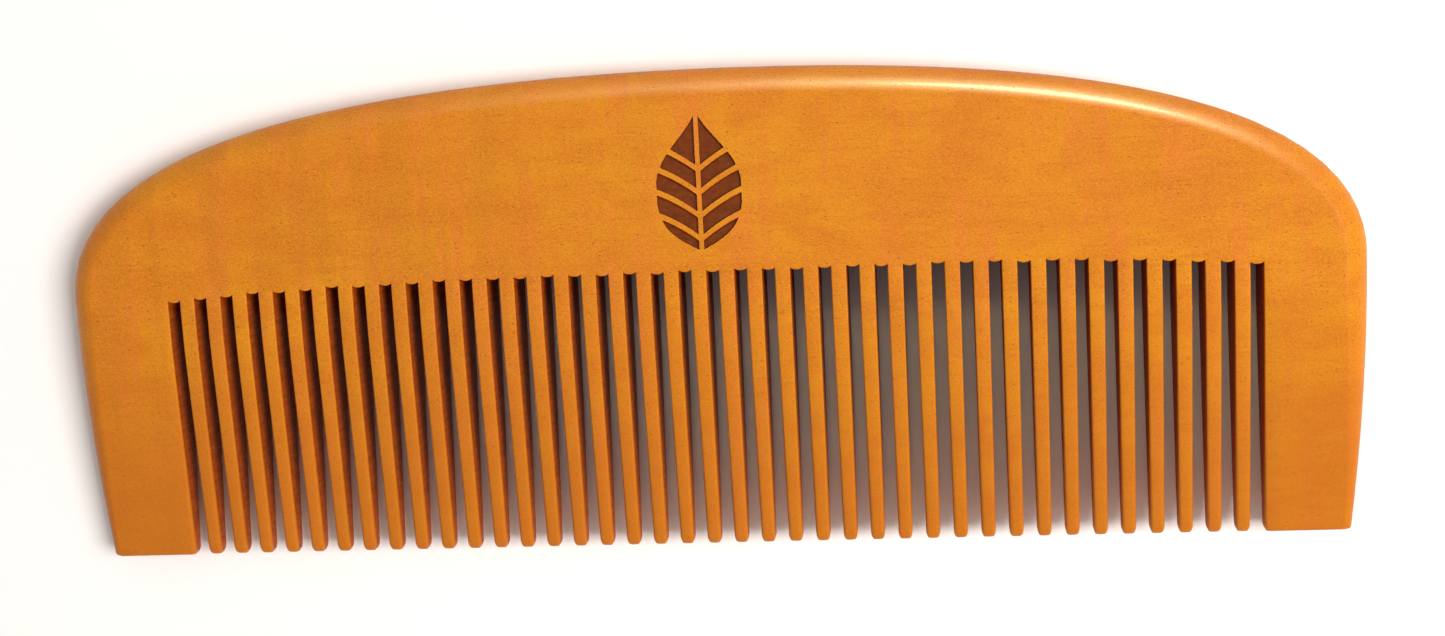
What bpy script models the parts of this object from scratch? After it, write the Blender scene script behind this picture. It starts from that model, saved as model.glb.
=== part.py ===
"""A one-piece wooden beard comb: a round-edged spine, two end guards and a row of sawn teeth.

Everything is in metres. X runs along the comb, Y from the tooth tips towards the spine and
Z through the thickness. The comb lies on its back face, which is the plane Z = 0, and the
origin is on that plane under the middle of the comb.
"""

import math

import bmesh
import bpy

MM = 0.001

# Driving dimensions
LENGTH = 140 * MM  # over both guards, at the widest
HEIGHT = 51.8 * MM  # from the tooth tips to the crest of the spine
THICKNESS = 5.8 * MM  # through the spine
TIP_THICKNESS = 1.9 * MM  # through the tooth tips
TOOTH_COUNT = 39
PITCH = 2.988 * MM  # from one tooth to the next
TEETH_OFFSET = 0.3 * MM  # to the right of the middle, so the left guard is the wider one
TOOTH_LENGTH = 30.3 * MM  # from the tip to the root of the middle kerf

# Outline: crest, flank and foot, and how far the curve's handles reach from each of them
FLANK_RISE = 29.5 * MM  # from the tips up to where the comb is widest
FOOT_LENGTH = 136.7 * MM  # over both guards, at the tips
CREST_REACH = 35.7 * MM
SHOULDER_REACH = 17.7 * MM
FLANK_REACH = 5 * MM
FOOT_REACH = 14 * MM
FOOT_LEAN = 0.118  # sideways over downwards, where the flank meets the foot
OUTLINE_STEPS = 14

# Edges
SPINE_ROUND = 2.4 * MM
FOOT_CORNER_ROUND = 0.5 * MM
ROUND_SHARE = 0.8  # of half the local thickness, where the wood is too thin for SPINE_ROUND
ROUND_SEGMENTS = 4
TAPER_DROP = 6 * MM  # how far below the kerf roots the two faces begin to close in

# Kerfs, the saw cuts between the teeth
KERF_ROOT_WIDTH = 1.36 * MM
KERF_MOUTH_WIDTH = 1.46 * MM
KERF_EAR = 0.2 * MM  # how much deeper the two corners are cut than the middle
ROOT_DROP = 1.27 * MM  # how much shallower the outermost kerf is than the middle one
ROOT_DROP_POWER = 4
TIP_FLAT = 0.7 * MM
TIP_ROUND_HEIGHT = 1.0 * MM
TIP_ROUND_STEPS = 3

# The mark, a leaf burnt into the front face
MARK_WIDTH = 9.2 * MM
MARK_HEIGHT = 14.8 * MM
MARK_OFFSET = 0.8 * MM  # to the right of the middle
MARK_RISE = 9.7 * MM  # from the middle kerf's root to the leaf's middle
MARK_DEPTH = 0.3 * MM
MARK_TIP_REACH = 0.22  # of the leaf's height, how far its curve's end handles reach
MARK_SIDE_REACH = 0.26  # of the leaf's height, the same at its widest
MARK_WIDEST = 0.44  # of the leaf's height, up from its stem
MARK_STEPS = 8
VEIN_WIDTH = 0.5 * MM
VEIN_PAIRS = 4
VEIN_SLOPE = 0.8  # rise over run

# Worked out from the dimensions above
TIP_Y = -HEIGHT / 2
CREST_Y = HEIGHT / 2
ROOT_Y = TIP_Y + TOOTH_LENGTH
TAPER_Y = ROOT_Y - TAPER_DROP
KERF_COUNT = TOOTH_COUNT + 1
OVERCUT = 1 * MM  # how far a cutter stands out of the wood
WELD = 0.001 * MM
FLAT_ANGLE = math.radians(0.1)
SHARP_ANGLE = math.radians(30)


def clear_scene():
    for obj in list(bpy.data.objects):
        bpy.data.objects.remove(obj)


def new_collection(name):
    collection = bpy.data.collections.new(name)
    bpy.context.scene.collection.children.link(collection)
    return collection


def wood_material():
    material = bpy.data.materials.new("waxed_pear_wood")
    material.use_nodes = True
    shader = material.node_tree.nodes["Principled BSDF"]
    shader.inputs["Base Color"].default_value = (0.62, 0.27, 0.07, 1)
    shader.inputs["Roughness"].default_value = 0.42
    shader.inputs["Metallic"].default_value = 0.0
    return material


def flat_curve(name, half_depth):
    """An empty 2D curve whose filled outline is extruded by half_depth both ways."""
    curve = bpy.data.curves.new(name, "CURVE")
    curve.dimensions = "2D"
    curve.fill_mode = "BOTH"
    curve.extrude = half_depth
    return curve


def add_polygon(curve, points):
    spline = curve.splines.new("POLY")
    spline.points.add(len(points) - 1)
    for point, (x, y) in zip(spline.points, points):
        point.co = (x, y, 0, 1)
    spline.use_cyclic_u = True


def add_bezier(curve, knots, steps):
    """A closed spline through knots, each of them a point, its left and its right handle."""
    curve.resolution_u = steps
    spline = curve.splines.new("BEZIER")
    spline.bezier_points.add(len(knots) - 1)
    for bezier, (point, left, right) in zip(spline.bezier_points, knots):
        bezier.co = (*point, 0)
        for side, handle in (("left", left), ("right", right)):
            if handle is None:
                setattr(bezier, f"handle_{side}_type", "VECTOR")
            else:
                setattr(bezier, f"handle_{side}_type", "FREE")
                setattr(bezier, f"handle_{side}", (*handle, 0))
    spline.use_cyclic_u = True


def solid_from_curve(curve, collection, location=(0, 0, 0)):
    """The extruded curve as a closed mesh object. The curve itself is removed."""
    guide = bpy.data.objects.new(f"{curve.name}_curve", curve)
    collection.objects.link(guide)
    guide.location = location
    bpy.context.view_layer.update()
    graph = bpy.context.evaluated_depsgraph_get()
    mesh = bpy.data.meshes.new_from_object(guide.evaluated_get(graph))
    solid = bpy.data.objects.new(curve.name, mesh)
    collection.objects.link(solid)
    solid.matrix_world = guide.matrix_world
    bpy.data.objects.remove(guide)
    bm = bmesh.new()
    bm.from_mesh(mesh)
    bmesh.ops.remove_doubles(bm, verts=bm.verts, dist=WELD)
    bmesh.ops.dissolve_limit(bm, angle_limit=FLAT_ANGLE, verts=bm.verts, edges=bm.edges)
    bmesh.ops.recalc_face_normals(bm, faces=bm.faces)
    bm.to_mesh(mesh)
    bm.free()
    return solid


def mirrored(point):
    return (-point[0], point[1])


def comb_outline():
    """The comb's outer edge: a low crown, full shoulders and flanks that draw in to the feet."""
    crest = (0, CREST_Y)
    flank = (LENGTH / 2, TIP_Y + FLANK_RISE)
    foot = (FOOT_LENGTH / 2, TIP_Y)
    crest_handle = (CREST_REACH, CREST_Y)
    shoulder_handle = (flank[0], flank[1] + SHOULDER_REACH)
    flank_handle = (flank[0], flank[1] - FLANK_REACH)
    foot_handle = (foot[0] + FOOT_LEAN * FOOT_REACH, foot[1] + FOOT_REACH)
    return [
        (crest, mirrored(crest_handle), crest_handle),
        (flank, shoulder_handle, flank_handle),
        (foot, foot_handle, None),
        (mirrored(foot), None, mirrored(foot_handle)),
        (mirrored(flank), mirrored(flank_handle), mirrored(shoulder_handle)),
    ]


def half_thickness(y):
    """Half the wood's thickness at a height: constant past the roots, then thinner to the tips."""
    share = max(0, (TAPER_Y - y) / (TAPER_Y - TIP_Y))
    return (THICKNESS + share * (TIP_THICKNESS - THICKNESS)) / 2


def round_width(edge):
    """How wide an edge of the blank is rounded, or 0 where it stays as it is."""
    if edge.calc_face_angle() < SHARP_ANGLE:
        return 0
    start, end = (vertex.co for vertex in edge.verts)
    if abs(start.z - end.z) > THICKNESS / 4:
        return FOOT_CORNER_ROUND
    return min(SPINE_ROUND, ROUND_SHARE * half_thickness((start.y + end.y) / 2))


def shape_blank(blank):
    """Tapers the flat blank from its kerf roots to its tips and marks the edges to round."""
    bm = bmesh.new()
    bm.from_mesh(blank.data)
    geometry = [*bm.verts, *bm.edges, *bm.faces]
    bmesh.ops.bisect_plane(bm, geom=geometry, plane_co=(0, TAPER_Y, 0), plane_no=(0, 1, 0))
    for vertex in bm.verts:
        vertex.co.z *= half_thickness(vertex.co.y) / (THICKNESS / 2)
    weight = bm.edges.layers.float.new("bevel_weight_edge")
    for edge in bm.edges:
        edge[weight] = round_width(edge) / SPINE_ROUND
    bm.to_mesh(blank.data)
    bm.free()
    rounding = blank.modifiers.new("rounded_edges", "BEVEL")
    rounding.limit_method = "WEIGHT"
    rounding.width = SPINE_ROUND
    rounding.segments = ROUND_SEGMENTS
    rounding.use_clamp_overlap = False


def kerf_outline(number):
    """One saw cut: two deeper corners at the root, straight sides and a mouth that rounds the tips."""
    last = (KERF_COUNT - 1) / 2
    centre = TEETH_OFFSET + (number - last) * PITCH
    root = ROOT_Y - ROOT_DROP * abs(number / last - 1) ** ROOT_DROP_POWER
    flare = (PITCH - TIP_FLAT - KERF_MOUTH_WIDTH) / 2
    side = [(KERF_ROOT_WIDTH / 2, root + KERF_EAR)]
    for step in range(TIP_ROUND_STEPS + 1):
        angle = step / TIP_ROUND_STEPS * math.pi / 2
        x = KERF_MOUTH_WIDTH / 2 + flare * (1 - math.cos(angle))
        side.append((x, TIP_Y + TIP_ROUND_HEIGHT * (1 - math.sin(angle))))
    side.append((side[-1][0], TIP_Y - OVERCUT))
    outline = [(0, root), *side, *(mirrored(point) for point in reversed(side))]
    return [(centre + x, y) for x, y in outline]


def kerf_cutter(collection):
    """All the saw cuts, as one object of separate prisms."""
    curve = flat_curve("kerfs", THICKNESS / 2 + OVERCUT)
    for number in range(KERF_COUNT):
        add_polygon(curve, kerf_outline(number))
    return solid_from_curve(curve, collection, (0, 0, THICKNESS / 2))


def leaf_outline():
    """A pointed oval that stands upright, its middle at the origin."""
    top = (0, MARK_HEIGHT / 2)
    bottom = (0, -MARK_HEIGHT / 2)
    side = (MARK_WIDTH / 2, (MARK_WIDEST - 0.5) * MARK_HEIGHT)
    reach = MARK_TIP_REACH * MARK_HEIGHT
    top_handle = (reach / 2, top[1] - reach)
    bottom_handle = (reach, bottom[1] + reach / 2)
    side_up = (side[0], side[1] + MARK_SIDE_REACH * MARK_HEIGHT)
    side_down = (side[0], side[1] - MARK_SIDE_REACH * MARK_HEIGHT)
    return [
        (top, mirrored(top_handle), top_handle),
        (side, side_up, side_down),
        (bottom, bottom_handle, mirrored(bottom_handle)),
        (mirrored(side), mirrored(side_down), mirrored(side_up)),
    ]


def vein_outline():
    """The leaf's midrib with pairs of veins that rise from it, past the leaf's edge."""
    rib = VEIN_WIDTH / 2
    reach = MARK_WIDTH / 2 + OVERCUT
    rise = VEIN_SLOPE * (reach - rib)
    half_cut = VEIN_WIDTH / 2 * math.hypot(1, VEIN_SLOPE)
    end = MARK_HEIGHT / 2 + OVERCUT
    spacing = MARK_HEIGHT / (VEIN_PAIRS + 2)
    side = [(rib, -end)]
    for number in range(VEIN_PAIRS):
        foot = (number - (VEIN_PAIRS + 1) / 2) * spacing
        side += [(rib, foot - half_cut), (reach, foot + rise - half_cut)]
        side += [(reach, foot + rise + half_cut), (rib, foot + half_cut)]
    side.append((rib, end))
    return [*side, *(mirrored(point) for point in reversed(side))]


def mark_cutter(collection):
    """The leaf with its veins left standing, reaching MARK_DEPTH into the front face."""
    place = (MARK_OFFSET, ROOT_Y + MARK_RISE, THICKNESS)
    leaf = flat_curve("mark", MARK_DEPTH)
    add_bezier(leaf, leaf_outline(), MARK_STEPS)
    veins = flat_curve("mark_veins", MARK_DEPTH + OVERCUT)
    add_polygon(veins, vein_outline())
    cutter = solid_from_curve(leaf, collection, place)
    cut(cutter, solid_from_curve(veins, collection, place))
    return cutter


def cut(body, cutter):
    boolean = body.modifiers.new(f"cut_{cutter.name}", "BOOLEAN")
    boolean.operation = "DIFFERENCE"
    boolean.object = cutter
    cutter.hide_render = True
    cutter.display_type = "WIRE"


def make_comb():
    parts = new_collection("beard_comb")
    cutters = new_collection("cutters")
    curve = flat_curve("comb", THICKNESS / 2)
    add_bezier(curve, comb_outline(), OUTLINE_STEPS)
    comb = solid_from_curve(curve, parts, (0, 0, THICKNESS / 2))
    shape_blank(comb)
    cut(comb, kerf_cutter(cutters))
    cut(comb, mark_cutter(cutters))
    comb.data.materials.append(wood_material())
    comb.data.shade_smooth()
    comb.data.set_sharp_from_angle(angle=SHARP_ANGLE)


clear_scene()
make_comb()
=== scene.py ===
"""The looks of the beard comb: waxed wood with rounded edges, on a pale floor in soft light.

The comb lies in the frame of the CAD part: X runs along it, Y from the tooth tips towards the
spine and Z through its thickness, with its back face on the plane Z = 0. Its shape is worked out
in millimetres as a height field over the front half, which is mirrored to the back.
"""

import math

import bmesh
import bpy
import numpy as np
from mathutils import Matrix, Vector


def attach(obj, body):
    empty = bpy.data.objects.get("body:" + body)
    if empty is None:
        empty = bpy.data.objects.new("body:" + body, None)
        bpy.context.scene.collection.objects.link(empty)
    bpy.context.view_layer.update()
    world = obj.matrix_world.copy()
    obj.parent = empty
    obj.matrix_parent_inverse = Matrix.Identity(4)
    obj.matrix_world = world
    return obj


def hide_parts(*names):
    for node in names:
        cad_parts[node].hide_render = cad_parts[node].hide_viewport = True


MM = 0.001

# The comb, in millimetres
LENGTH = 140.0
HEIGHT = 51.8
THICKNESS = 5.8
TIP_THICKNESS = 1.9
TOOTH_COUNT = 39
PITCH = 2.988
TEETH_OFFSET = 0.3
TOOTH_LENGTH = 30.3
TAPER_DROP = 6.0  # how far below the middle kerf's root the faces begin to close in
TAPER_BLEND = 0.05  # how softly the taper sets in, as a share of its length

# Outline
FLANK_RISE = 29.5  # from the tips up to the widest place
FOOT_LENGTH = 136.7
CREST_REACH = 35.7
SHOULDER_REACH = 17.7
FLANK_REACH = 5.0
FOOT_REACH = 14.0
FOOT_LEAN = 0.118
FOOT_CORNER = 0.45

# Rounding of the outer edge, with a plain side wall below it
ROUND_WIDTH = 2.6
ROUND_DEPTH = 1.95
ROUND_SHARE = 0.89  # of half the local thickness, where the wood is too thin for ROUND_WIDTH
ROUND_POWER = 1.55  # 2 is a quarter of an ellipse, less gives the band a crisper inner ridge
TIP_BAND = 1.3  # how far up the tooth tips are rounded off
TIP_BAND_SHARE = 0.7  # of half the tips' thickness, how deep
GUARD_BAND = 0.45  # the same at the guards' feet, both ways
DROP_SHARE = 0.85  # of half the local thickness, the most that all rounding takes off

# Kerfs
ROOT_WIDTH = 1.36
MOUTH_WIDTH = 1.46
KERF_EAR = 0.2  # how much deeper a kerf is at its walls than in its middle
EAR_POWER = 2.2
ROOT_DROP = 1.27  # how much lower the outermost kerfs end than the middle one
ROOT_DROP_POWER = 4
ROOT_JITTER = 0.08
JITTER_WAVES = (12.9, 3.1, 7.3)
TIP_FLAT = 0.7
TIP_HEIGHT = 1.0  # how far up the tips are rounded as seen from the front
ROOT_EASE = 0.13  # radius of the sanded edge along a kerf, at its root
TIP_EASE = 0.42  # the same at the tooth tips
EASE_GROWTH = 1.6
EASE_SHARE = 0.62  # of half the local thickness, how deep that edge can go
EASE_TOOTH_SHARE = 0.42  # of a tooth's width, the most that it takes

# The burnt leaf
MARK_WIDTH = 9.2
MARK_HEIGHT = 14.8
MARK_OFFSET = 0.8
MARK_RISE = 9.7
MARK_DEPTH = 0.3
MARK_TIP_REACH = 0.22
MARK_SIDE_REACH = 0.26
MARK_WIDEST = 0.44
MARK_DRAFT = 0.03  # how far the burnt walls lean in
VEIN_WIDTH = 0.5
VEIN_PAIRS = 4
VEIN_SLOPE = 0.8
VEIN_BEND = 0.055
CELL_HEIGHT = 0.02  # the least height of a cell between two veins
CUTTER_HEAD = 1.0  # how far the cutter stands out of the wood
CUTTER_GAP = 0.02

# Worked out
TIP_Y = -HEIGHT / 2
CREST_Y = HEIGHT / 2
ROOT_Y = TIP_Y + TOOTH_LENGTH
TAPER_Y = ROOT_Y - TAPER_DROP
MIDDLE_Z = THICKNESS / 2
KERF_COUNT = TOOTH_COUNT + 1
LAST = (KERF_COUNT - 1) / 2
SPINE_BAND = min(ROUND_WIDTH, ROUND_SHARE * MIDDLE_Z)

# Mesh spacing, in millimetres, degrees or shares
TOP_POINTS = 260
FLANK_POINTS = 160
CORNER_POINTS = 12
LEAF_POINTS = 24
CELL_POINTS = 60
CELL_FEWEST = 3
EASE_STEPS = np.array((0.0, 0.134, 0.5, 1.0))  # shares of the eased edge's radius
BAND_ANGLES = (0, 6, 13, 21, 30, 40, 50, 60, 70, 78, 84, 88, 90)
BAND_MARGIN = 1.4
TIP_ANGLES = (0, 10, 20, 30, 42, 54, 66, 78, 90)
TIP_LEVELS = TIP_Y + TIP_HEIGHT * (1 - np.cos(np.radians(TIP_ANGLES)))
ROOT_LEVELS = np.array((0.5, 0.2, 0.0))  # the last heights of a tooth, down from the roots
ROOT_CLEAR = 0.9
MIDDLE_STEPS = 5
TOOTH_ROWS = 14
SPINE_ROWS = 10
SPINE_SPREAD = 1.5
SIDE_ROWS = 4
ROOT_COLUMNS = 7
KERF_LINE_ROWS = 6
KERF_LINE_COLUMNS = 13
DISTANCE_CHUNK = 4000
WELD = 0.001
SHARP_ANGLE = math.radians(35)

# Material slots
WAXED = 0
KERF_SHADED = 1


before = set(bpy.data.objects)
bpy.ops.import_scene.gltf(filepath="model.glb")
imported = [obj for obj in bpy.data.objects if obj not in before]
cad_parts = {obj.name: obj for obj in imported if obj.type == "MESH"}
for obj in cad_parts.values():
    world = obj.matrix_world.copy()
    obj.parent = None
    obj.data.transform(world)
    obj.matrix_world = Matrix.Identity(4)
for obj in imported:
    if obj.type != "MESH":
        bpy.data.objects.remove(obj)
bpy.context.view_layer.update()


# --- Shape ---------------------------------------------------------------------------------


def bezier(start, handle_a, handle_b, end, count):
    t = np.linspace(0, 1, count)[:, None]
    start, handle_a, handle_b, end = (np.array(p, float) for p in (start, handle_a, handle_b, end))
    return (
        start * (1 - t) ** 3
        + 3 * handle_a * t * (1 - t) ** 2
        + 3 * handle_b * t * t * (1 - t)
        + end * t**3
    )


def right_outline():
    """The outer edge from the crest over the right shoulder and flank to the foot's corner."""
    crest = (0, CREST_Y)
    flank = (LENGTH / 2, TIP_Y + FLANK_RISE)
    foot = (FOOT_LENGTH / 2, TIP_Y)
    shoulder = bezier(
        crest, (CREST_REACH, CREST_Y), (flank[0], flank[1] + SHOULDER_REACH), flank, TOP_POINTS
    )
    side = bezier(
        flank,
        (flank[0], flank[1] - FLANK_REACH),
        (foot[0] + FOOT_LEAN * FOOT_REACH, foot[1] + FOOT_REACH),
        foot,
        FLANK_POINTS,
    )
    side = side[side[:, 1] > TIP_Y + FOOT_CORNER]
    corner_x = side[-1, 0] - FOOT_CORNER
    angles = np.radians(np.linspace(0, 90, CORNER_POINTS))
    corner = np.c_[
        corner_x + FOOT_CORNER * np.cos(angles), TIP_Y + FOOT_CORNER * (1 - np.sin(angles))
    ]
    return np.vstack([shoulder, side[1:], corner])


EDGE = right_outline()
TOP_X, TOP_Y = EDGE[:TOP_POINTS].T
TOP_SLOPE = np.gradient(TOP_Y, TOP_X)


def segment_distance(points, line):
    """The distance from each point to a polyline."""
    start = line[:-1]
    step = line[1:] - start
    length = (step**2).sum(1)
    best = np.full(len(points), np.inf)
    for chunk in range(0, len(points), DISTANCE_CHUNK):
        p = points[chunk : chunk + DISTANCE_CHUNK, None, :]
        t = np.clip(((p - start) * step).sum(2) / length, 0, 1)
        gap = p - start - t[..., None] * step
        best[chunk : chunk + DISTANCE_CHUNK] = np.sqrt((gap**2).sum(2)).min(1)
    return best


def edge_distance(points):
    """How far each point is inside the comb's crest, shoulders and flanks."""
    return segment_distance(np.c_[np.abs(points[:, 0]), points[:, 1]], EDGE)


def half_thickness(y):
    """Half the thickness at a height: even in the spine, closing in towards the tips."""
    share = (TAPER_Y - y) / (TAPER_Y - TIP_Y)
    share = (share + np.sqrt(share**2 + TAPER_BLEND**2)) / 2
    return (THICKNESS - np.minimum(share, 1) * (THICKNESS - TIP_THICKNESS)) / 2


def jitter(number):
    """A small, fixed unevenness for each kerf, between -1 and 1."""
    fast, swing, slow = JITTER_WAVES
    return math.sin(fast * number + swing * math.sin(slow * number))


def kerf_centre(number):
    return TEETH_OFFSET + (number - LAST) * PITCH


def kerf_root(number):
    """The height at which a kerf ends, in its middle. The row of roots is a low arch."""
    arch = ROOT_Y - ROOT_DROP * abs(number / LAST - 1) ** ROOT_DROP_POWER
    return arch + ROOT_JITTER * jitter(number)


def kerf_half_width(number, y):
    """Half the width of a kerf at a height, with the flare that rounds the tips."""
    share = (y - TIP_Y) / (kerf_root(number) + KERF_EAR - TIP_Y)
    straight = (MOUTH_WIDTH + (ROOT_WIDTH - MOUTH_WIDTH) * share) / 2
    flare = (PITCH - TIP_FLAT) / 2 - straight
    up = np.clip(1 - (y - TIP_Y) / TIP_HEIGHT, 0, 1)
    return straight + flare * (1 - np.sqrt(1 - up**2))


def root_curve(share):
    """How far above its middle a kerf's root is, at a share of the way out to a wall."""
    return KERF_EAR * np.abs(share) ** EAR_POWER


def kerf_line(number):
    """The whole edge of a kerf, from one tooth tip over the root to the next."""
    ear = kerf_root(number) + KERF_EAR
    rows = np.r_[TIP_LEVELS, np.linspace(TIP_Y + TIP_HEIGHT, ear, KERF_LINE_ROWS)[1:]]
    width = kerf_half_width(number, rows)
    across = np.linspace(-1, 1, KERF_LINE_COLUMNS)
    left = np.c_[-width, rows]
    root = np.c_[across * ROOT_WIDTH / 2, kerf_root(number) + root_curve(across)]
    right = np.c_[width, rows][::-1]
    line = np.vstack([left, root[1:-1], right])
    return line + [kerf_centre(number), 0]


def kerf_distance(points):
    """How far each point is from the nearest kerf's edge."""
    best = np.full(len(points), np.inf)
    for number in range(KERF_COUNT):
        near = np.abs(points[:, 0] - kerf_centre(number)) < PITCH
        best[near] = np.minimum(best[near], segment_distance(points[near], kerf_line(number)))
    return best


def kerf_ease(y):
    """The radius of the sanded edge along a kerf, which grows towards the tips."""
    share = np.clip((ROOT_Y - y) / (ROOT_Y - TIP_Y), 0, 1)
    return ROOT_EASE + (TIP_EASE - ROOT_EASE) * share**EASE_GROWTH


def band_width(thick):
    """The width of the rounded band along the outer edge, where half the thickness is given."""
    return np.minimum(ROUND_WIDTH, ROUND_SHARE * thick)


def fall(share, power):
    """How far a rounded edge has dropped: all of it at its rim and nothing from 1 inwards."""
    return 1 - (1 - (1 - np.clip(share, 0, 1)) ** power) ** (1 / power)


def surface_height(points):
    """The front face's height over the middle plane."""
    x, y = points.T
    thick = half_thickness(y)
    width = band_width(thick)
    outer = width * ROUND_DEPTH / ROUND_WIDTH * fall(edge_distance(points) / width, ROUND_POWER)
    in_row = np.abs(x - TEETH_OFFSET) < LAST * PITCH
    low_band = np.where(in_row, TIP_BAND, GUARD_BAND)
    low_depth = np.where(in_row, TIP_BAND_SHARE * thick, GUARD_BAND)
    low = low_depth * fall((y - TIP_Y) / low_band, 2)
    ease = kerf_ease(y)
    side = np.minimum(ease, EASE_SHARE * thick) * fall(kerf_distance(points) / ease, 2)
    return thick - np.minimum(np.sqrt(outer**2 + low**2 + side**2), DROP_SHARE * thick)


# --- Mesh of the wood ----------------------------------------------------------------------


class Shell:
    """Collects quads over the plane; those that meet are welded afterwards."""

    def __init__(self):
        self.points = []
        self.quads = []

    def grid(self, rows):
        """Quads between rows of points, all of one length, counted anticlockwise from above."""
        start = sum(len(p) for p in self.points)
        rows = np.array(rows, float)
        count, width, _ = rows.shape
        self.points.append(rows.reshape(-1, rows.shape[2]))
        for row in range(count - 1):
            for column in range(width - 1):
                corner = start + row * width + column
                self.quads.append((corner, corner + 1, corner + width + 1, corner + width))


def tooth_columns(left, right, y):
    """Points from one edge of a tooth to the other, close together along both."""
    near = EASE_STEPS * min(kerf_ease(y), EASE_TOOTH_SHARE * (right - left))
    return np.r_[left + near, (left + right) / 2, (right - near)[::-1]]


def tooth_levels(base):
    """Heights from the tips' line to the roots, close together where the tips round off."""
    body = np.linspace(TIP_Y + TIP_BAND, base - ROOT_CLEAR, TOOTH_ROWS)
    return np.r_[TIP_LEVELS, body, base - ROOT_LEVELS]


def band_steps(width):
    """Distances from the outer edge inwards where the rounding needs a row, outermost first."""
    return width * (1 - np.cos(np.radians(BAND_ANGLES)))


def across_to_edge(length, slant, band, ease):
    """Distances from an inner line out to the outer edge: eased edge, middle, rounded band."""
    near = EASE_STEPS * ease
    far = length - (band_steps(band) * slant)[::-1]
    middle = np.linspace(near[-1], far[0], MIDDLE_STEPS + 1)[1:-1]
    return np.r_[near, middle, far]


def top_point(x):
    """The outer edge's height over x, and how much longer an upright cut through its band is."""
    y = np.interp(np.abs(x), TOP_X, TOP_Y)
    slope = np.interp(np.abs(x), TOP_X, TOP_SLOPE)
    return y, np.sqrt(1 + slope**2)


def spine_columns():
    """The x of every column over the teeth and kerfs, with the height at which it starts."""
    columns = []
    for number in range(KERF_COUNT):
        centre = kerf_centre(number)
        root = kerf_root(number)
        ear = root + KERF_EAR
        for share in np.linspace(-1, 1, ROOT_COLUMNS):
            columns.append((centre + share * ROOT_WIDTH / 2, root + root_curve(share)))
        if number < KERF_COUNT - 1:
            left = centre + ROOT_WIDTH / 2
            right = kerf_centre(number + 1) - ROOT_WIDTH / 2
            next_ear = kerf_root(number + 1) + KERF_EAR
            for x in tooth_columns(left, right, (ear + next_ear) / 2)[1:-1]:
                share = (x - left) / (right - left)
                columns.append((x, (1 - share) * ear + share * next_ear))
    return columns


def spine_levels(x, base):
    """Heights up one column of the spine, from the roots to the crest."""
    top, slant = top_point(x)
    inset = top - (SPINE_BAND + BAND_MARGIN) * slant
    rise = EASE_STEPS * ROOT_EASE
    shares = np.linspace(0, 1, SPINE_ROWS + 1)[1:] ** SPINE_SPREAD
    middle = base + rise[-1] + (inset - base - rise[-1]) * shares
    outer = inset + across_to_edge(top - inset, slant, SPINE_BAND, ROOT_EASE)
    return np.r_[base + rise, middle, outer[1:]]


def build_spine(shell):
    rows = [[(x, y) for y in spine_levels(x, base)] for x, base in spine_columns()]
    rows = np.array(rows)
    shell.grid(rows[::-1])
    return rows


def build_teeth(shell):
    for number in range(KERF_COUNT - 1):
        levels_left = tooth_levels(kerf_root(number) + KERF_EAR)
        levels_right = tooth_levels(kerf_root(number + 1) + KERF_EAR)
        rows = []
        for y_left, y_right in zip(levels_left, levels_right):
            left = kerf_centre(number) + kerf_half_width(number, y_left)
            right = kerf_centre(number + 1) - kerf_half_width(number + 1, y_right)
            xs = tooth_columns(left, right, (y_left + y_right) / 2)
            share = (xs - left) / (right - left)
            rows.append(np.c_[xs, y_left + share * (y_right - y_left)])
        shell.grid(rows)


def build_guard(shell, side, spine_rows):
    """The end guard and its shoulder, in rows from the last kerf or column to the outer edge."""
    number = KERF_COUNT - 1 if side > 0 else 0
    base = kerf_root(number) + KERF_EAR
    levels = tooth_levels(base)
    wall = np.c_[kerf_centre(number) + side * kerf_half_width(number, levels), levels]
    column = spine_rows[-1 if side > 0 else 0]
    inner = np.vstack([wall, column[1 : len(EASE_STEPS) + SPINE_ROWS]])
    highest = inner[-1][1]

    # The rows end on this arc, from over the last column round to the foot
    join_x = abs(column[0][0])
    top, slant = top_point(join_x)
    arc = np.vstack([[(join_x, top)], EDGE[EDGE[:, 0] >= join_x]])
    walk = np.r_[0, np.cumsum(np.hypot(*np.diff(arc, axis=0).T))]
    base_walk = np.interp(-base, -arc[:, 1], walk)

    rows = []
    for index, (x, y) in enumerate(inner):
        share = (y - base) / (highest - base)  # of the way from the root up to the crest's band
        in_guard = index < len(levels)
        along = np.interp(-y, -arc[:, 1], walk) if in_guard else base_walk * (1 - share)
        outer = np.array([np.interp(along, walk, arc[:, 0]), np.interp(along, walk, arc[:, 1])])
        start = np.array([side * x, y])
        step = outer - start
        length = math.hypot(*step)
        if index == len(inner) - 1:
            places = across_to_edge(length, slant, SPINE_BAND, ROOT_EASE)
        else:
            local_slant = 1 + max(0, share) ** 2 * (slant - 1)
            local_band = float(band_width(half_thickness(outer[1])))
            ease = kerf_ease(y) if in_guard else ROOT_EASE
            places = across_to_edge(length, local_slant, local_band, ease)
        row = start + places[:, None] * step / length
        row[:, 0] *= side
        rows.append(row)
    shell.grid(rows if side > 0 else rows[::-1])


def in_kerf(face):
    """Whether a side face is part of a kerf's walls and not of the outer edge or a tooth's tip."""
    x, y, _ = face.calc_center_median()
    in_row = abs(x - TEETH_OFFSET) < LAST * PITCH + ROOT_WIDTH
    return in_row and TIP_Y + TIP_HEIGHT / 2 < y < ROOT_Y + KERF_EAR * 3


def add_sides(bm):
    """Side walls from every open edge of the front face down to the middle plane."""
    rim = [edge for edge in bm.edges if edge.is_boundary]
    for row in range(SIDE_ROWS, 0, -1):
        made = bmesh.ops.extrude_edge_only(bm, edges=rim)["geom"]
        rim = [part for part in made if isinstance(part, bmesh.types.BMEdge) and part.is_boundary]
        for vertex in {vertex for edge in rim for vertex in edge.verts}:
            vertex.co.z *= (row - 1) / row
        for face in {face for edge in rim for face in edge.link_faces}:
            # The kerfs' walls take the material with painted shade
            face.material_index = KERF_SHADED if in_kerf(face) else WAXED


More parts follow.
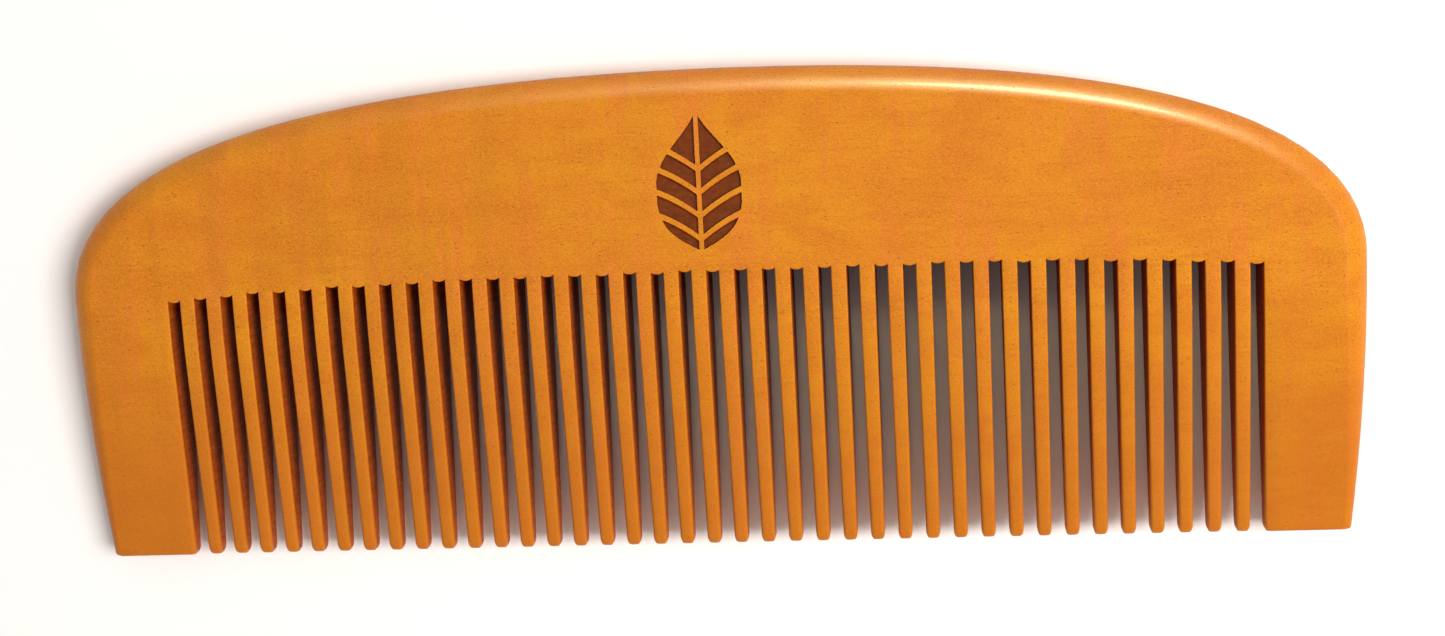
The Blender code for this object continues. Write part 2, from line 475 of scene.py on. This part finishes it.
def comb_mesh():
    """The whole comb without its mark: the front half and its mirror image, welded together."""
    shell = Shell()
    spine_rows = build_spine(shell)
    build_teeth(shell)
    build_guard(shell, 1, spine_rows)
    build_guard(shell, -1, spine_rows)
    points = np.vstack(shell.points)
    vertices = np.c_[points, surface_height(points)]
    mesh = bpy.data.meshes.new("comb_wood")
    mesh.from_pydata(vertices.tolist(), [], shell.quads)
    bm = bmesh.new()
    bm.from_mesh(mesh)
    bmesh.ops.remove_doubles(bm, verts=bm.verts, dist=WELD)
    add_sides(bm)
    bmesh.ops.mirror(
        bm, geom=[*bm.verts, *bm.edges, *bm.faces], axis="Z", merge_dist=WELD, matrix=Matrix()
    )
    bmesh.ops.dissolve_degenerate(bm, dist=WELD / 2, edges=bm.edges)
    bmesh.ops.recalc_face_normals(bm, faces=bm.faces)
    for vertex in bm.verts:
        vertex.co.z += MIDDLE_Z
        vertex.co *= MM
    bm.to_mesh(mesh)
    bm.free()
    return mesh


def link(mesh_or_light, name):
    thing = bpy.data.objects.new(name, mesh_or_light)
    bpy.context.scene.collection.objects.link(thing)
    return thing


# --- The burnt leaf ------------------------------------------------------------------------


def leaf_outline():
    """The right half of the leaf's edge, from its tip down to its stem."""
    tip = (0, MARK_HEIGHT / 2)
    stem = (0, -MARK_HEIGHT / 2)
    widest = (MARK_WIDTH / 2, (MARK_WIDEST - 0.5) * MARK_HEIGHT)
    reach = MARK_TIP_REACH * MARK_HEIGHT
    side = MARK_SIDE_REACH * MARK_HEIGHT
    upper = bezier(
        tip, (reach / 2, tip[1] - reach), (widest[0], widest[1] + side), widest, LEAF_POINTS
    )
    lower = bezier(
        widest, (widest[0], widest[1] - side), (reach, stem[1] + reach / 2), stem, LEAF_POINTS
    )
    return np.vstack([upper, lower[1:]])


def vein_height(foot, x):
    """A side vein's height at a distance from the midrib: it rises and slowly levels out."""
    return foot + VEIN_SLOPE * (x - VEIN_BEND * x**2)


def leaf_cells():
    """The parts of the leaf between its veins, as outlines."""
    edge = leaf_outline()
    upper = edge[:LEAF_POINTS]
    lower = edge[: LEAF_POINTS - 2 : -1]  # from the stem out to the widest place
    rib = VEIN_WIDTH / 2
    half_cut = VEIN_WIDTH / 2 * math.hypot(1, VEIN_SLOPE)
    spacing = MARK_HEIGHT / (VEIN_PAIRS + 2)
    feet = [(number - (VEIN_PAIRS + 1) / 2) * spacing for number in range(VEIN_PAIRS)]
    limits = [-MARK_HEIGHT, *feet, MARK_HEIGHT]
    cells = []
    for low, high in zip(limits[:-1], limits[1:]):
        xs = np.linspace(rib, MARK_WIDTH / 2, CELL_POINTS)
        leaf_top = np.interp(xs, upper[:, 0], upper[:, 1])
        leaf_low = np.interp(xs, lower[:, 0], lower[:, 1])
        floor = np.maximum(leaf_low, vein_height(low, xs) + half_cut)
        roof = np.minimum(leaf_top, vein_height(high, xs) - half_cut)
        inside = roof > floor + CELL_HEIGHT
        if inside.sum() > CELL_FEWEST:
            right = np.vstack([np.c_[xs, floor][inside], np.c_[xs, roof][inside][::-1]])
            cells.append(right)
            cells.append((right * [-1, 1])[::-1])
    return cells


def mark_cutter():
    """The leaf's cells as shallow plugs whose walls draw in towards their floor."""
    bm = bmesh.new()
    surface = THICKNESS + CUTTER_GAP
    for cell in leaf_cells():
        place = cell + [MARK_OFFSET, ROOT_Y + MARK_RISE]
        top = [bm.verts.new((x, y, surface + CUTTER_HEAD)) for x, y in place]
        bottom = [bm.verts.new((x, y, surface)) for x, y in place]
        bm.faces.new(top)
        floor = bm.faces.new(bottom[::-1])
        for number in range(len(place)):
            after = (number + 1) % len(place)
            bm.faces.new((bottom[number], bottom[after], top[after], top[number]))
        bm.normal_update()
        bmesh.ops.inset_individual(
            bm, faces=[floor], thickness=MARK_DRAFT, depth=MARK_DEPTH + CUTTER_GAP
        )
    bmesh.ops.scale(bm, vec=(MM, MM, MM), verts=bm.verts)
    bmesh.ops.recalc_face_normals(bm, faces=bm.faces)
    mesh = bpy.data.meshes.new("mark_cutter")
    bm.to_mesh(mesh)
    bm.free()
    return link(mesh, "mark_cutter")


def burn_in(comb, cutter):
    """Cut the leaf into the front face, with the cutter's material on the cut faces."""
    cut = comb.modifiers.new("mark", "BOOLEAN")
    cut.operation = "DIFFERENCE"
    cut.solver = "MANIFOLD"
    cut.material_mode = "TRANSFER"
    cut.object = cutter
    bpy.context.view_layer.update()
    graph = bpy.context.evaluated_depsgraph_get()
    comb.data = bpy.data.meshes.new_from_object(comb.evaluated_get(graph))
    comb.modifiers.clear()
    bpy.data.objects.remove(cutter)


# --- Materials -----------------------------------------------------------------------------


def srgb(red, green, blue):
    """A colour given from 0 to 255 as it looks on a screen, in linear light."""
    return tuple(((c / 255 + 0.055) / 1.055) ** 2.4 if c > 10 else c / 255 / 12.92
                 for c in (red, green, blue)) + (1.0,)


# Waxed wood
AMBER = srgb(208, 119, 18)
GOLD = srgb(212, 130, 12)
PINKISH = srgb(214, 116, 34)
CLOUD_BROWN = srgb(200, 108, 12)
RIPPLE_BROWN = srgb(186, 108, 16)
STREAK_BROWN = srgb(198, 100, 12)
HAIR_BROWN = srgb(176, 92, 10)
DARK_SPECK = srgb(168, 84, 10)
PALE_SPECK = srgb(232, 156, 34)
PORE_BROWN = srgb(96, 40, 6)
# Painted shade: the wood is darkened towards the tooth tips
TIP_PAINTED_SHADE = srgb(182, 96, 14)
# Painted shade on the steep parts of the rim, where the rounding turns away from the light
RIM_PAINTED_SHADE = srgb(150, 76, 14)
RIM_STEEP = 0.8  # the upward part of the normal below which the rim is darker
LEFT_SIDE = (15, -35)  # x in millimetres over which the ripple sets in
RIGHT_SIDE = (-5, 35)  # the same for the streaks
# The span over which the painted shade towards the tips sets in
TOOTH_SHADE = (6, -22)  # y in millimetres over which the wood gets darker
STREAK_TURN = (0, 0, math.radians(-32))

# The mark, and the kerfs' walls painted darker as shade
CHAR_DARK = srgb(98, 36, 3)
CHAR_PALE = srgb(118, 48, 5)
CHAR_LINE = srgb(80, 28, 4)
# Painted shade: the kerf walls are darker than the waxed wood
KERF_SHADE_PALE = srgb(176, 74, 7)
KERF_SHADE_DARK = srgb(134, 52, 3)

FLOOR_COLOUR = (0.97, 0.91, 0.87, 1)


class Nodes:
    """A material's node tree, with short ways to add to it. Patterns run in millimetres."""

    def __init__(self, name):
        self.material = bpy.data.materials.new(name)
        self.material.use_nodes = True
        self.tree = self.material.node_tree
        self.shader = self.tree.nodes["Principled BSDF"]

    def add(self, kind, inputs=None, **settings):
        node = self.tree.nodes.new(kind)
        for name, value in settings.items():
            setattr(node, name, value)
        for name, value in (inputs or {}).items():
            self.put(node.inputs[name], value)
        return node

    def put(self, socket, value):
        if isinstance(value, bpy.types.NodeSocket):
            self.tree.links.new(value, socket)
        else:
            socket.default_value = value

    def finish(self, **inputs):
        """Set the shader's sockets, named with underscores, and return the material."""
        for name, value in inputs.items():
            self.put(self.shader.inputs[name.replace("_", " ")], value)
        return self.material

    def math(self, operation, a, b):
        return self.add("ShaderNodeMath", {0: a, 1: b}, operation=operation).outputs[0]

    def scaled(self, vector, scale, turn=(0, 0, 0)):
        return self.add(
            "ShaderNodeMapping", {"Vector": vector, "Scale": scale, "Rotation": turn}
        ).outputs[0]

    def millimetres(self):
        place = self.add("ShaderNodeTexCoord").outputs["Object"]
        return self.scaled(place, (1 / MM, 1 / MM, 1 / MM))

    def noise(self, vector, scale=1.0, detail=4, rough=0.5, distortion=0.0):
        return self.add(
            "ShaderNodeTexNoise",
            {"Vector": vector, "Scale": scale, "Detail": detail, "Roughness": rough,
             "Distortion": distortion},
        ).outputs[0]

    def remap(self, value, low, high, to_low=0.0, to_high=1.0):
        return self.add(
            "ShaderNodeMapRange",
            {"Value": value, "From Min": low, "From Max": high, "To Min": to_low,
             "To Max": to_high},
            interpolation_type="SMOOTHSTEP",
        ).outputs[0]

    def mix(self, factor, a, b):
        node = self.add("ShaderNodeMix", data_type="RGBA")
        self.put(node.inputs["Factor"], factor)
        self.put(node.inputs[6], a)
        self.put(node.inputs[7], b)
        return node.outputs[2]

    def layer(self, base, mask, strength, colour):
        """Lay a colour over the base where the mask is 1, as strongly as asked."""
        return self.mix(self.math("MULTIPLY", mask, strength), base, colour)

    def bump(self, height, strength, depth):
        """A normal bent by a height, over a depth in millimetres."""
        return self.add(
            "ShaderNodeBump", {"Strength": strength, "Distance": depth * MM, "Height": height}
        ).outputs[0]


def wood_pores(n, mm):
    """Small dark pores, drawn out along the comb, in one of three cells."""
    cells = n.add(
        "ShaderNodeTexVoronoi",
        {"Vector": n.scaled(mm, (1.2, 2.6, 2.6)), "Scale": 1.0, "Randomness": 1.0},
    )
    chosen = n.add("ShaderNodeSeparateColor", {0: cells.outputs["Color"]}).outputs[0]
    chosen = n.remap(chosen, 0.66, 0.70)
    return n.math("MULTIPLY", n.remap(cells.outputs["Distance"], 0.2, 0.1), chosen)


def wood_material():
    """Waxed wood: soft patches of colour, faint figure, hairlines, speckle and pores, with painted
    shade towards the tips and on the steep rim.
    """
    n = Nodes("waxed_wood")
    mm = n.millimetres()
    x, y, _ = n.add("ShaderNodeSeparateXYZ", {0: mm}).outputs
    blotch = n.noise(n.scaled(mm, (0.05, 0.08, 0.08)), detail=3)
    cloud = n.noise(n.scaled(mm, (0.16, 0.3, 0.3)))
    tint = n.noise(n.scaled(mm, (0.42, 0.05, 0.1)), detail=3, rough=0.6, distortion=0.3)
    hair = n.noise(n.scaled(mm, (0.16, 3.2, 3.2)), detail=5, rough=0.65, distortion=0.3)
    ripple = n.noise(n.scaled(mm, (0.34, 0.035, 0.1)), detail=3, rough=0.55, distortion=0.6)
    streak = n.noise(n.scaled(mm, (0.12, 1.1, 0.6), STREAK_TURN), rough=0.6, distortion=0.4)
    speckle = n.noise(n.scaled(mm, (4.5, 8.5, 6.5)), detail=3, rough=0.7)
    pore = wood_pores(n, mm)

    # The ripple runs across the left half and the streaks slant over the right one
    ripple_strength = n.math("MULTIPLY", n.remap(x, *LEFT_SIDE), 0.34)
    streak_strength = n.math("MULTIPLY", n.remap(x, *RIGHT_SIDE), 0.3)
    base = n.mix(n.remap(blotch, 0.35, 0.65), AMBER, GOLD)
    base = n.layer(base, n.remap(tint, 0.48, 0.66), 0.8, PINKISH)
    base = n.layer(base, n.remap(cloud, 0.42, 0.64), 0.55, CLOUD_BROWN)
    base = n.layer(base, n.remap(ripple, 0.42, 0.62), ripple_strength, RIPPLE_BROWN)
    base = n.layer(base, n.remap(streak, 0.48, 0.66), streak_strength, STREAK_BROWN)
    base = n.layer(base, n.remap(hair, 0.52, 0.70), 0.3, HAIR_BROWN)
    base = n.layer(base, n.remap(speckle, 0.5, 0.68), 0.55, DARK_SPECK)
    base = n.layer(base, n.remap(speckle, 0.5, 0.34), 0.4, PALE_SPECK)
    base = n.layer(base, pore, 0.55, PORE_BROWN)

    # Painted shade: darker towards the tips, and a little on the steep parts of the rim
    base = n.mix(n.remap(y, *TOOTH_SHADE, 0.0, 0.6), base, TIP_PAINTED_SHADE)
    normal = n.add("ShaderNodeNewGeometry").outputs["Normal"]
    upward = n.add("ShaderNodeSeparateXYZ", {0: normal}).outputs[2]
    # Painted shade where the rim's normal turns from upward
    rim_shade_mask = n.remap(n.math("ABSOLUTE", upward, 0.0), RIM_STEEP, 0.0)
    base = n.layer(base, rim_shade_mask, 0.35, RIM_PAINTED_SHADE)

    height = n.math("SUBTRACT", n.math("MULTIPLY", hair, 0.5), pore)
    height = n.math("ADD", height, n.math("MULTIPLY", speckle, 0.3))
    return n.finish(
        Base_Color=base,
        Roughness=n.remap(speckle, 0.3, 0.7, 0.36, 0.48),
        Coat_Weight=0.09,
        Coat_Roughness=0.2,
        Specular_IOR_Level=0.22,
        Normal=n.bump(height, 0.3, 0.05),
    )


def burnt_material():
    """The leaf's charred walls and floor."""
    n = Nodes("burnt_wood")
    mm = n.millimetres()
    soot = n.noise(mm, scale=1.3, detail=5, rough=0.6)
    hair = n.noise(n.scaled(mm, (0.3, 5, 5)), rough=0.6)
    base = n.mix(n.remap(soot, 0.3, 0.7), CHAR_DARK, CHAR_PALE)
    base = n.layer(base, n.remap(hair, 0.5, 0.7), 0.4, CHAR_LINE)
    return n.finish(
        Base_Color=base,
        Roughness=0.7,
        Specular_IOR_Level=0.12,
        Normal=n.bump(soot, 0.4, 0.08),
    )


def kerf_shade_material():
    """The kerfs' walls, painted darker as shade in the narrow gaps between the teeth."""
    n = Nodes("kerf_wood_painted_shade")
    saw = n.noise(n.scaled(n.millimetres(), (2.0, 4.0, 0.5)), rough=0.6)
    return n.finish(
        Base_Color=n.mix(n.remap(saw, 0.35, 0.7), KERF_SHADE_PALE, KERF_SHADE_DARK),
        Roughness=0.6,
        Specular_IOR_Level=0.3,
        Normal=n.bump(saw, 0.3, 0.05),
    )


def floor_material():
    return Nodes("pale_floor").finish(
        Base_Color=FLOOR_COLOUR, Roughness=0.9, Specular_IOR_Level=0.1
    )


# --- The comb ------------------------------------------------------------------------------

comb = link(comb_mesh(), "comb_wood")
comb.data.materials.append(wood_material())
comb.data.materials.append(kerf_shade_material())
cutter = mark_cutter()
cutter.data.materials.append(burnt_material())
burn_in(comb, cutter)
comb.data.shade_smooth()
comb.data.set_sharp_from_angle(angle=SHARP_ANGLE)

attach(comb, "root")
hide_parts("comb")


# --- Floor, light and camera, in metres ----------------------------------------------------

FLOOR_REACH = 2
SKY_STRENGTH = 0.43
KEY_POWER = 7.0
CREST_POWER = 15.0
CREST_COLOUR = (1.0, 0.88, 0.5)


def area_light(name, place, target, size, power, colour=(1, 1, 1)):
    light = bpy.data.lights.new(name, "AREA")
    light.shape = "RECTANGLE"
    light.size, light.size_y = size
    light.energy = power
    light.color = colour
    lamp = link(light, name)
    lamp.location = place
    lamp.rotation_euler = (Vector(target) - Vector(place)).to_track_quat("-Z", "Y").to_euler()
    return lamp


floor_mesh = bpy.data.meshes.new("floor")
floor_corners = ((-1, -1), (1, -1), (1, 1), (-1, 1))
floor_mesh.from_pydata(
    [(FLOOR_REACH * x, FLOOR_REACH * y, 0) for x, y in floor_corners], [], [(0, 1, 2, 3)]
)
floor_mesh.materials.append(floor_material())
floor = link(floor_mesh, "floor")

# The sky and the crest light make the gloss, so the key light isn't seen in it
key_light = area_light("key_light", (0.5, 0.0, 0.64), (0, 0, 0), (0.4, 0.4), KEY_POWER)
key_light.visible_glossy = False

# It only adds the gleam along the crest
crest_light = area_light(
    "crest_light", (0.14, 0.42, 0.42), (0.03, 0.02, 0), (0.18, 0.07), CREST_POWER, CREST_COLOUR
)
crest_light.visible_diffuse = False

world = bpy.data.worlds.new("studio")
world.use_nodes = True
world.node_tree.nodes["Background"].inputs["Color"].default_value = (1, 1, 1, 1)
world.node_tree.nodes["Background"].inputs["Strength"].default_value = SKY_STRENGTH
bpy.context.scene.world = world

# The camera looks down at the front face from a little beyond the crest and to the right
CAMERA_TILT = math.radians(8.09)
CAMERA_TURN = math.radians(-6.32)
CAMERA_ROLL = math.radians(1.97)
CAMERA_DISTANCE = 0.21179
CAMERA_LENS = 49.36
CAMERA_TARGET = (0.002633, -0.000593, 0.0058)

camera_data = bpy.data.cameras.new("camera")
camera_data.sensor_width = 36
camera_data.lens = CAMERA_LENS
camera_data.clip_start = 0.01
camera = link(camera_data, "camera")
camera_turn = (
    Matrix.Rotation(-CAMERA_TILT, 4, "X")
    @ Matrix.Rotation(-CAMERA_TURN, 4, "Y")
    @ Matrix.Rotation(-CAMERA_ROLL, 4, "Z")
)
camera.matrix_world = (
    Matrix.Translation(CAMERA_TARGET) @ camera_turn @ Matrix.Translation((0, 0, CAMERA_DISTANCE))
)
bpy.context.scene.camera = camera
bpy.context.scene.view_settings.view_transform = "Standard"
